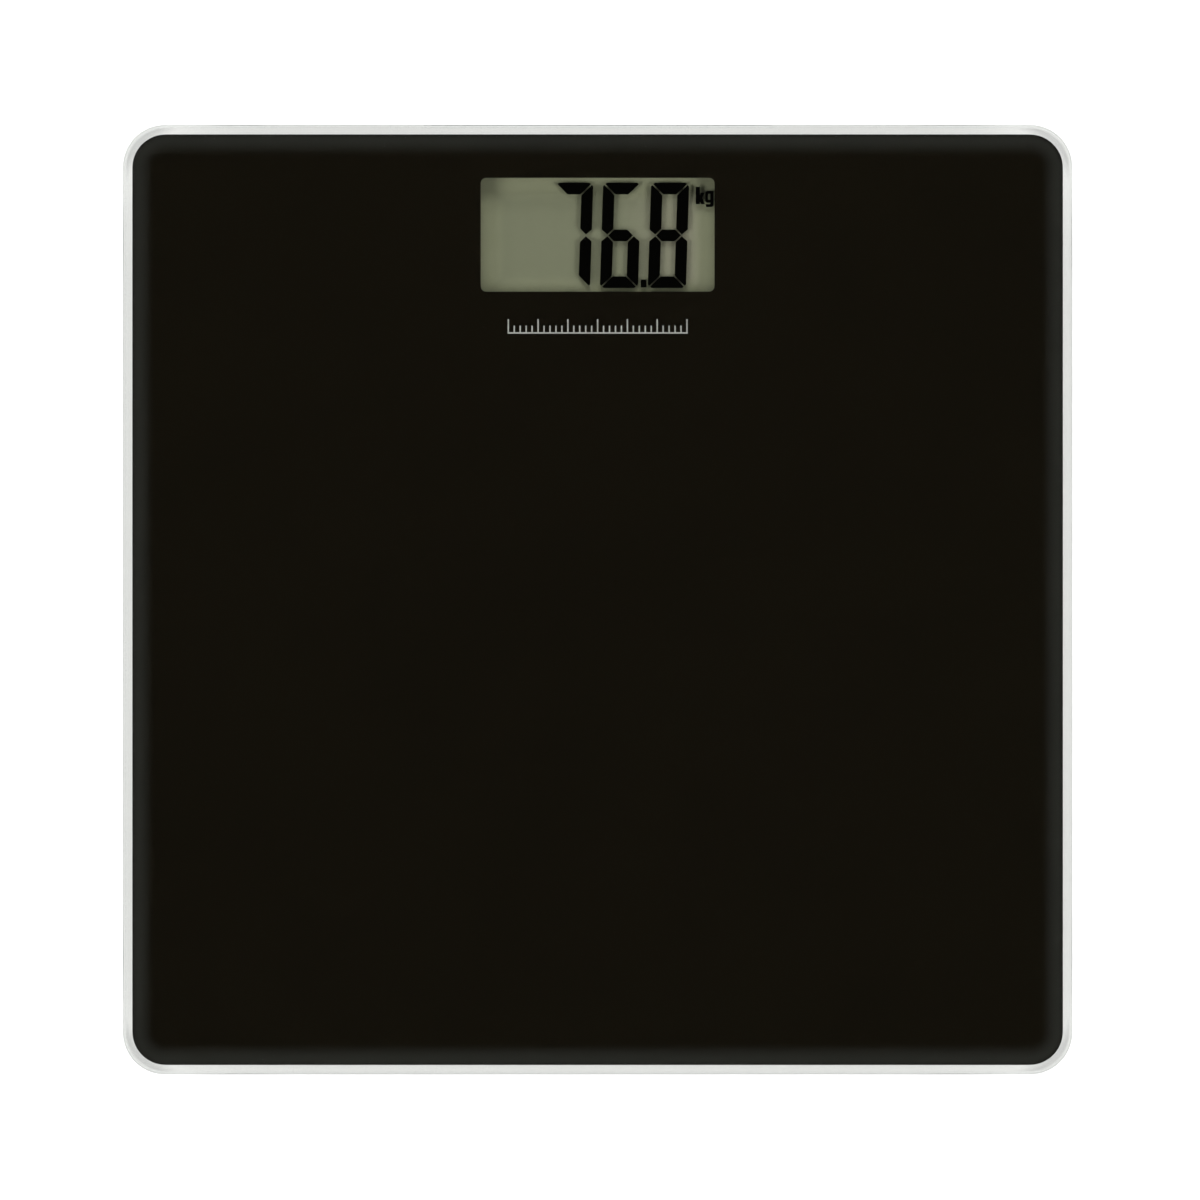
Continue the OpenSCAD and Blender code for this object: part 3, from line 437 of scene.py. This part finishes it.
def small_ceramics():
    # Fired ceramic chips, with tinned patches that catch the light.
    return grained("chip_ceramic", linear("#9A7A50"), linear("#B39B70"), 1.1 * MM, 0.15 * MM, (0.35, 0.6),
                   0.01 * MM, IOR=1.6)


def white_plastic():
    # White polyester, moulded: clean, with a fine grain.
    return grained("moulded_white_polyester", linear("#CFCFCB"), linear("#DCDCD9"), 6 * MM, 0.3 * MM,
                   (0.38, 0.52), 0.01 * MM)


def nickel_steel():
    # Nickel plated steel: bright and warm grey, with turned lines of 0.1 mm, drawn at
    # 0.25 mm, and a few duller spots.
    return grained("nickel_plated_steel", linear("#B0AEA9"), linear("#C4C2BE"), 3 * MM, 0.25 * MM, (0.18, 0.34),
                   0.004 * MM, (1, 8, 1), Metallic=1.0)


def grey_plastic():
    # Grey ABS of the unit button, satin moulded and a little polished by fingers.
    group = settings("plastic")
    grey = [*group.button_colour, 1]
    return grained("moulded_grey_abs", grey, [c * 1.15 for c in grey], 5 * MM, group.texture, (0.38, 0.55),
                   0.015 * MM, IOR=1.53)


def sensor_steel():
    # Stamped alloy steel with the straight rolling lines of the strip, drawn at 0.3 mm, and a
    # thin film of oil in patches.
    return grained("stamped_alloy_steel", linear("#94969A"), linear("#A9A9A8"), 8 * MM, 0.3 * MM, (0.26, 0.46),
                   0.006 * MM, (1, 12, 1), Metallic=1.0)


def pad_rubber():
    # Moulded thermoplastic rubber: matte, with a bloom of paler dust and a fine eroded grain.
    rubber = [*settings("feet").rubber_colour, 1]
    return grained("moulded_pad_rubber", rubber, [c * 1.4 for c in rubber], 7 * MM, 0.3 * MM, (0.68, 0.85),
                   0.03 * MM, Specular_IOR_Level=0.3)


def gauge_film():
    # Amber polyimide film with the foil grid of the gauge showing through as fine loops.
    material, tree, shader, where = new_finish("polyimide_gauge", IOR=1.6)
    grid = add(tree, "TexWave", {"Vector": where, "Scale": math.tau / 20 / (0.5 * MM)},
               bands_direction="X").outputs["Fac"]
    base = add(tree, "MixRGB", {"Fac": grid, "Color1": linear("#B06A1E"), "Color2": linear("#7D5A35")})
    skin(tree, shader, base.outputs["Color"], grid, (0.22, 0.4), 0.004 * MM)
    return material


def white_silicone():
    # Silicone brushed over the gauge against damp: milky, soft and slightly lumpy.
    return grained("cured_silicone", linear("#CACCCC"), linear("#DADBDA"), 2.5 * MM, 0.9 * MM, (0.3, 0.5),
                   0.06 * MM, Subsurface_Weight=0.1, IOR=1.43)


def wire_insulation(name, dark, light):
    # Extruded PVC over stranded copper: an even, slightly waxy skin with fine drawing marks.
    return grained(name, linear(dark), linear(light), 4 * MM, 0.35 * MM, (0.36, 0.5), 0.008 * MM, IOR=1.53)


def red_insulation():
    return wire_insulation("red_pvc", "#A31512", "#B8231D")


def white_insulation():
    return wire_insulation("white_pvc", "#CCCCC8", "#D9D9D5")


def black_insulation():
    return wire_insulation("black_pvc", "#111112", "#1C1C1E")


FINISHES = {
    "tempered_glass": tempered_glass, "black_enamel": fired_enamel, "silver_print": silver_ink,
    "polariser_film": polariser_film, "display_glass": display_glass, "segment_ink": liquid_crystal,
    "epoxy_seal": sealing_epoxy, "reflector_film": display_reflector, "zebra_rubber": zebra_rubber,
    "foam_tape": foam_tape, "black_plastic": black_plastic, "board_green": circuit_board,
    "gold_plate": gold_plate, "black_epoxy": black_epoxy, "ceramic_parts": small_ceramics,
    "white_plastic": white_plastic, "nickel_steel": nickel_steel, "grey_plastic": grey_plastic,
    "sensor_steel": sensor_steel, "pad_rubber": pad_rubber, "gauge_film": gauge_film,
    "white_silicone": white_silicone, "red_insulation": red_insulation,
    "white_insulation": white_insulation, "black_insulation": black_insulation,
}
SLOT_OF = {part["node"]: part["material_slot"] for part in frame["record"]["subparts"]}
BODY_OF = {node: body for body, nodes in frame["record"]["behaviour"]["bodies"].items() for node in nodes}
made_finishes = {}


def finish_of(slot):
    """The material of one of the part's slots, made once."""
    if slot not in made_finishes:
        made_finishes[slot] = FINISHES[slot]()
    return made_finishes[slot]


def give(obj, *materials):
    obj.data.materials.clear()
    for material in materials:
        obj.data.materials.append(material)


def finish_nodes(*names):
    """Gives CAD nodes the finish of their material slot."""
    for name in names:
        give(frame["nodes"][name], finish_of(SLOT_OF[name]))


# ---------- modelling ----------

def select_only(obj):
    bpy.ops.object.select_all(action="DESELECT")
    obj.select_set(True)
    bpy.context.view_layer.objects.active = obj


def edit(obj, kind):
    """Opens a piece in edit mode with nothing selected."""
    select_only(obj)
    bpy.ops.object.mode_set(mode="EDIT")
    bpy.ops.mesh.select_mode(type=kind)
    bpy.ops.mesh.select_all(action="DESELECT")


def pick(obj, kind, test):
    """Selects what passes the test among the verts, edges or faces of the piece in edit mode."""
    mesh = bmesh.from_edit_mesh(obj.data)
    mesh.normal_update()
    for element in getattr(mesh, kind):
        element.select_set(bool(test(element)))
    mesh.select_flush_mode()
    bmesh.update_edit_mesh(obj.data)


def leave_edit():
    bpy.ops.object.mode_set(mode="OBJECT")


def settle(obj, name):
    """Names a new piece and puts its place into its mesh."""
    select_only(obj)
    bpy.ops.object.transform_apply(location=True, rotation=True, scale=True)
    obj.name = obj.data.name = name
    return obj


def apply_modifiers(obj):
    select_only(obj)
    for modifier in list(obj.modifiers):
        bpy.ops.object.modifier_apply(modifier=modifier.name)


def smooth(obj, angle=35):
    """Shades the rounded edges smooth and keeps the large faces truly flat."""
    select_only(obj)
    bpy.ops.object.shade_smooth_by_angle(angle=math.radians(angle), keep_sharp_edges=False)
    obj.modifiers.new("flat faces", "WEIGHTED_NORMAL").keep_sharp = True
    apply_modifiers(obj)


def softened(node, width, dissolve=2.0, segments=2, angle=35):
    """A copy of a CAD node with clean faces and rounded moulded edges, in place of the node."""
    source = frame["nodes"][node]
    obj = bpy.data.objects.new(node + "_rounded", source.data.copy())
    bpy.context.scene.collection.objects.link(obj)
    obj.data.name = obj.name
    edit(obj, "VERT")
    bpy.ops.mesh.customdata_custom_splitnormals_clear()
    bpy.ops.mesh.select_all(action="SELECT")
    bpy.ops.mesh.remove_doubles(threshold=0.002 * MM)
    bpy.ops.mesh.dissolve_limited(angle_limit=math.radians(dissolve))
    leave_edit()
    if width:
        bevel = obj.modifiers.new("moulded edges", "BEVEL")
        bevel.width, bevel.segments = width, segments
        bevel.limit_method, bevel.angle_limit = "ANGLE", math.radians(angle)
        bevel.use_clamp_overlap = True
        bevel.miter_outer = "MITER_ARC"
        apply_modifiers(obj)
    smooth(obj, 32)
    give(obj, finish_of(SLOT_OF[node]))
    attach(obj, BODY_OF[node], node)
    return obj


def attach(obj, body, *nodes):
    """Lets a piece ride on a body in place of CAD nodes."""
    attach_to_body(obj, body)
    if nodes:
        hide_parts(*nodes)


def turned(name, centre, profile, steps=96):
    """Spins a closed outline of (radius, height) points about the upright axis through centre."""
    bpy.ops.object.select_all(action="DESELECT")
    bpy.ops.mesh.primitive_plane_add(size=1 * MM, location=(0, 0, 0))
    obj = bpy.context.object
    bpy.ops.object.mode_set(mode="EDIT")
    bpy.ops.mesh.select_all(action="SELECT")
    bpy.ops.mesh.merge(type="CENTER")
    radius, height = profile[0]
    bpy.ops.transform.translate(value=(centre[0] + radius, centre[1], height))
    for (r0, z0), (r1, z1) in zip(profile, profile[1:]):
        bpy.ops.mesh.extrude_region_move(TRANSFORM_OT_translate={"value": (r1 - r0, 0, z1 - z0)})
    bpy.ops.mesh.select_all(action="SELECT")
    bpy.ops.mesh.spin(steps=steps, angle=math.tau, center=(centre[0], centre[1], 0), axis=(0, 0, 1))
    bpy.ops.mesh.select_all(action="SELECT")
    bpy.ops.mesh.remove_doubles(threshold=0.004 * MM)
    bpy.ops.mesh.normals_make_consistent(inside=False)
    leave_edit()
    return settle(obj, name)


# ---------- pieces ----------

class SCALE_OT_stage(bpy.types.Operator):
    """Set up the camera, the pale floor and the soft studio light"""
    bl_idname = "bathroom_scale.stage"
    bl_label = "Stage"

    def execute(self, context):
        group = settings("stage")
        scene = context.scene
        scene.view_settings.view_transform = "Standard"
        bpy.ops.object.select_all(action="DESELECT")
        bpy.ops.object.camera_add(location=(group.camera_right, -group.camera_front, group.camera_height),
                                  rotation=(0, 0, 0))
        camera = context.object
        camera.name = "studio_camera"
        camera.data.lens, camera.data.sensor_width = group.lens, 36
        camera.data.clip_start, camera.data.clip_end = 0.01, 50
        scene.camera = camera

        bpy.ops.mesh.primitive_plane_add(size=14, location=(0, 0, -0.05 * MM))
        floor = settle(context.object, "studio_floor")
        material, tree, shader, where = new_finish("pale_studio_floor", Roughness=0.9,
                                                   Emission_Color=(1, 1, 1, 1),
                                                   Emission_Strength=group.floor_glow)
        drift = add(tree, "TexNoise", {"Vector": where, "Scale": 1 / (400 * MM), "Detail": 2.0}).outputs["Fac"]
        base = add(tree, "MixRGB", {"Fac": drift, "Color1": linear("#F2F2F2"), "Color2": linear("#F6F6F6")})
        tree.links.new(base.outputs["Color"], shader.inputs["Base Color"])
        give(floor, material)

        for name, place in (("left_softbox", (-1.5, -0.4, 1.1)), ("right_softbox", (1.5, -0.4, 1.1)),
                            ("rear_softbox", (0, 1.6, 1.0))):
            bpy.ops.object.light_add(type="AREA", location=place)
            light = context.object
            light.name = name
            light.data.shape, light.data.size, light.data.size_y = "RECTANGLE", 1.2, 0.8
            light.data.energy = group.softbox_power
            light.rotation_euler = (-Vector(place)).to_track_quat("-Z", "Y").to_euler()

        world = bpy.data.worlds.new("studio_sky")
        scene.world = world
        world.use_nodes = True
        tree = world.node_tree
        up = add(tree, "SeparateXYZ", {0: add(tree, "TexCoord").outputs["Generated"]}).outputs["Z"]
        ramp = add(tree, "ValToRGB", {"Fac": up})
        stops = ramp.color_ramp.elements
        stops[0].position, stops[0].color = 0.0, (1, 1, 1, 1)
        stops[1].position, stops[1].color = 0.985, (0.012, 0.012, 0.012, 1)
        for position, level in ((0.7, 0.85), (0.955, 0.7)):
            stop = stops.new(position)
            stop.color = (level, level, level, 1)
        background = tree.nodes["Background"]
        tree.links.new(ramp.outputs["Color"], background.inputs["Color"])
        background.inputs["Strength"].default_value = group.sky
        return {"FINISHED"}


class SCALE_OT_glass(bpy.types.Operator):
    """Model the tempered glass platform with its ground edge"""
    bl_idname = "bathroom_scale.glass"
    bl_label = "Glass Platform"

    def execute(self, context):
        group = settings("glass")
        size, centre = GLASS_HIGH - GLASS_LOW, (GLASS_HIGH + GLASS_LOW) / 2
        bpy.ops.object.select_all(action="DESELECT")
        bpy.ops.mesh.primitive_cube_add(size=1, location=centre, scale=size)
        plate = settle(context.object, "glass_plate")
        edit(plate, "EDGE")
        pick(plate, "edges", lambda e: abs(e.verts[0].co.z - e.verts[1].co.z) > size.z / 2)
        bpy.ops.mesh.bevel(offset=group.corner_radius, segments=24, affect="EDGES")
        bpy.ops.mesh.select_all(action="DESELECT")
        pick(plate, "edges", lambda e: any(abs(f.normal.z) > 0.9 for f in e.link_faces)
             and any(abs(f.normal.z) < 0.1 for f in e.link_faces))
        bpy.ops.mesh.bevel(offset=group.edge_radius, segments=6, affect="EDGES")
        leave_edit()
        give(plate, finish_of("tempered_glass"), ground_glass())
        for face in plate.data.polygons:
            face.material_index = 0 if abs(face.normal.z) > 0.999 else 1
        smooth(plate, 30)
        attach(plate, PLATFORM, "glass_platform")
        return {"FINISHED"}


class SCALE_OT_print(bpy.types.Operator):
    """Finish the black enamel print and the silver row of ticks"""
    bl_idname = "bathroom_scale.print"
    bl_label = "Print"

    def execute(self, context):
        finish_nodes("enamel_print", "print_mark")
        return {"FINISHED"}


class SCALE_OT_display(bpy.types.Operator):
    """Model the laminated front of the liquid crystal display and finish its layers"""
    bl_idname = "bathroom_scale.display"
    bl_label = "Display"

    def execute(self, context):
        film_low, film_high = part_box("lcd_front_polariser")
        bpy.ops.object.select_all(action="DESELECT")
        bpy.ops.mesh.primitive_cube_add(size=1, location=(LCD_LOW + LCD_HIGH) / 2, scale=LCD_HIGH - LCD_LOW)
        front = settle(context.object, "laminated_front_glass")
        edit(front, "FACE")
        pick(front, "faces", lambda f: f.normal.z > 0.9)
        bpy.ops.mesh.inset(thickness=film_low.x - LCD_LOW.x)
        for edge, place in (("front", film_low.y), ("rear", film_high.y)):
            mesh = bmesh.from_edit_mesh(front.data)
            inner = [v for f in mesh.faces if f.select for v in f.verts]
            ys = [v.co.y for v in inner]
            line = min(ys) if edge == "front" else max(ys)
            for vertex in inner:
                if abs(vertex.co.y - line) < 0.01 * MM:
                    vertex.co.y = place
            bmesh.update_edit_mesh(front.data)
        bpy.ops.mesh.extrude_region_move(TRANSFORM_OT_translate={"value": (0, 0, film_high.z - film_low.z)})
        leave_edit()
        give(front, finish_of("display_glass"), finish_of("polariser_film"))
        for face in front.data.polygons:
            face.material_index = 1 if face.center.z > film_low.z + 0.01 * MM else 0
        attach(front, PLATFORM, "lcd_front_glass", "lcd_front_polariser")
        finish_nodes("lcd_segments", "lcd_seal", "lcd_rear_glass", "lcd_reflector", "zebra_connector",
                     "display_foam", "display_tape")
        return {"FINISHED"}


class SCALE_OT_box(bpy.types.Operator):
    """Round the moulded edges of the display box, its cover, door and button"""
    bl_idname = "bathroom_scale.box"
    bl_label = "Display Box"

    def execute(self, context):
        width = settings("plastic").softening
        softened("display_housing", width)
        softened("housing_cover", width)
        softened("battery_door", width)
        softened("unit_button", width, segments=3)
        softened("case_screws", 0.08 * MM)
        return {"FINISHED"}


class SCALE_OT_board(bpy.types.Operator):
    """Finish the circuit board, its parts and the battery bay"""
    bl_idname = "bathroom_scale.board"
    bl_label = "Circuit Board"

    def execute(self, context):
        finish_nodes("circuit_board", "board_pads", "positive_contact", "negative_contact")
        softened("chip_blob", 0)
        softened("board_components", 0.12 * MM)
        softened("battery_holder", 0.2 * MM)
        softened("coin_cell", 0.1 * MM)
        softened("unit_switch", 0.15 * MM)
        softened("switch_plunger", 0.15 * MM)
        softened("board_screws", 0.08 * MM)
        return {"FINISHED"}


class SCALE_OT_feet(bpy.types.Operator):
    """Model the feet: housings, retainer rings, caps, load cells and grooved rubber pads"""
    bl_idname = "bathroom_scale.feet"
    bl_label = "Feet"

    def pad_profile(self, low, high):
        """Outline of a pad with ring grooves, from its middle outward and back over the top."""
        group = settings("feet")
        radius, top, edge = (high.x - low.x) / 2, high.z, 0.3 * MM
        lip = 0.12 * MM
        points = [(0, low.z)]
        r = group.groove_pitch
        while r < radius - 2 * MM:
            points += [(r - lip, low.z), (r, low.z + lip), (r + lip, group.groove_depth),
                       (r + group.groove_width - lip, group.groove_depth),
                       (r + group.groove_width, low.z + lip), (r + group.groove_width + lip, low.z)]
            r += group.groove_pitch
        points += [(radius - edge * (1 - math.sin(a)), low.z + edge * (1 - math.cos(a)))
                   for a in (k * math.pi / 8 for k in range(5))]
        return points + [(radius, top), (0, top)]

    def execute(self, context):
        width = settings("plastic").softening
        for corner in CORNERS:
            low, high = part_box("foot_pad_" + corner)
            centre = (low + high) / 2
            pad = turned("rubber_pad_" + corner, centre, self.pad_profile(low, high))
            give(pad, finish_of("pad_rubber"))
            smooth(pad, 50)
            attach(pad, "foot_" + corner, "foot_pad_" + corner)
            softened("foot_cap_" + corner, width, segments=3)
            softened("retainer_ring_" + corner, width)
            softened("foot_housing_" + corner, width)
            softened("load_cell_" + corner, 0.15 * MM)
        softened("retainer_screws", 0.08 * MM)
        finish_nodes("strain_gauges")
        softened("gauge_sealant", 0.3 * MM, segments=3)
        return {"FINISHED"}


class SCALE_OT_wiring(bpy.types.Operator):
    """Finish the wires, their ducts and the tapes"""
    bl_idname = "bathroom_scale.wiring"
    bl_label = "Wiring"

    def execute(self, context):
        finish_nodes("foot_tapes", "duct_tapes")
        for colour_name in ("red", "white", "black"):
            softened("wires_" + colour_name, 0, dissolve=0.5)
        softened("wire_ducts", settings("plastic").softening)
        return {"FINISHED"}


class SCALE_PT_sidebar(bpy.types.Panel):
    """Sizes and colours of the scale, and the steps that build it"""
    bl_idname = "SCALE_PT_sidebar"
    bl_label = "Bathroom Scale"
    bl_space_type = "VIEW_3D"
    bl_region_type = "UI"
    bl_category = "Bathroom Scale"

    def draw(self, context):
        for name, group in GROUPS.items():
            box = self.layout.box()
            box.label(text=name.title())
            for key in group.__annotations__:
                box.prop(settings(name), key)
        for step in STEPS:
            self.layout.operator(step.bl_idname)


STEPS = (SCALE_OT_stage, SCALE_OT_glass, SCALE_OT_print, SCALE_OT_display, SCALE_OT_box, SCALE_OT_board,
         SCALE_OT_feet, SCALE_OT_wiring)


def register():
    for group in GROUPS.values():
        bpy.utils.register_class(group)
    for cls in (*STEPS, SCALE_PT_sidebar):
        bpy.utils.register_class(cls)
    for name, group in GROUPS.items():
        setattr(bpy.types.Scene, "scale_" + name, bpy.props.PointerProperty(type=group))


def unregister():
    for name in GROUPS:
        delattr(bpy.types.Scene, "scale_" + name)
    for cls in reversed((*GROUPS.values(), *STEPS, SCALE_PT_sidebar)):
        bpy.utils.unregister_class(cls)


def main():
    register()
    for step in STEPS:
        getattr(bpy.ops.bathroom_scale, step.bl_idname.split(".")[1])()
    bpy.context.view_layer.update()


if __name__ == "__main__":
    main()
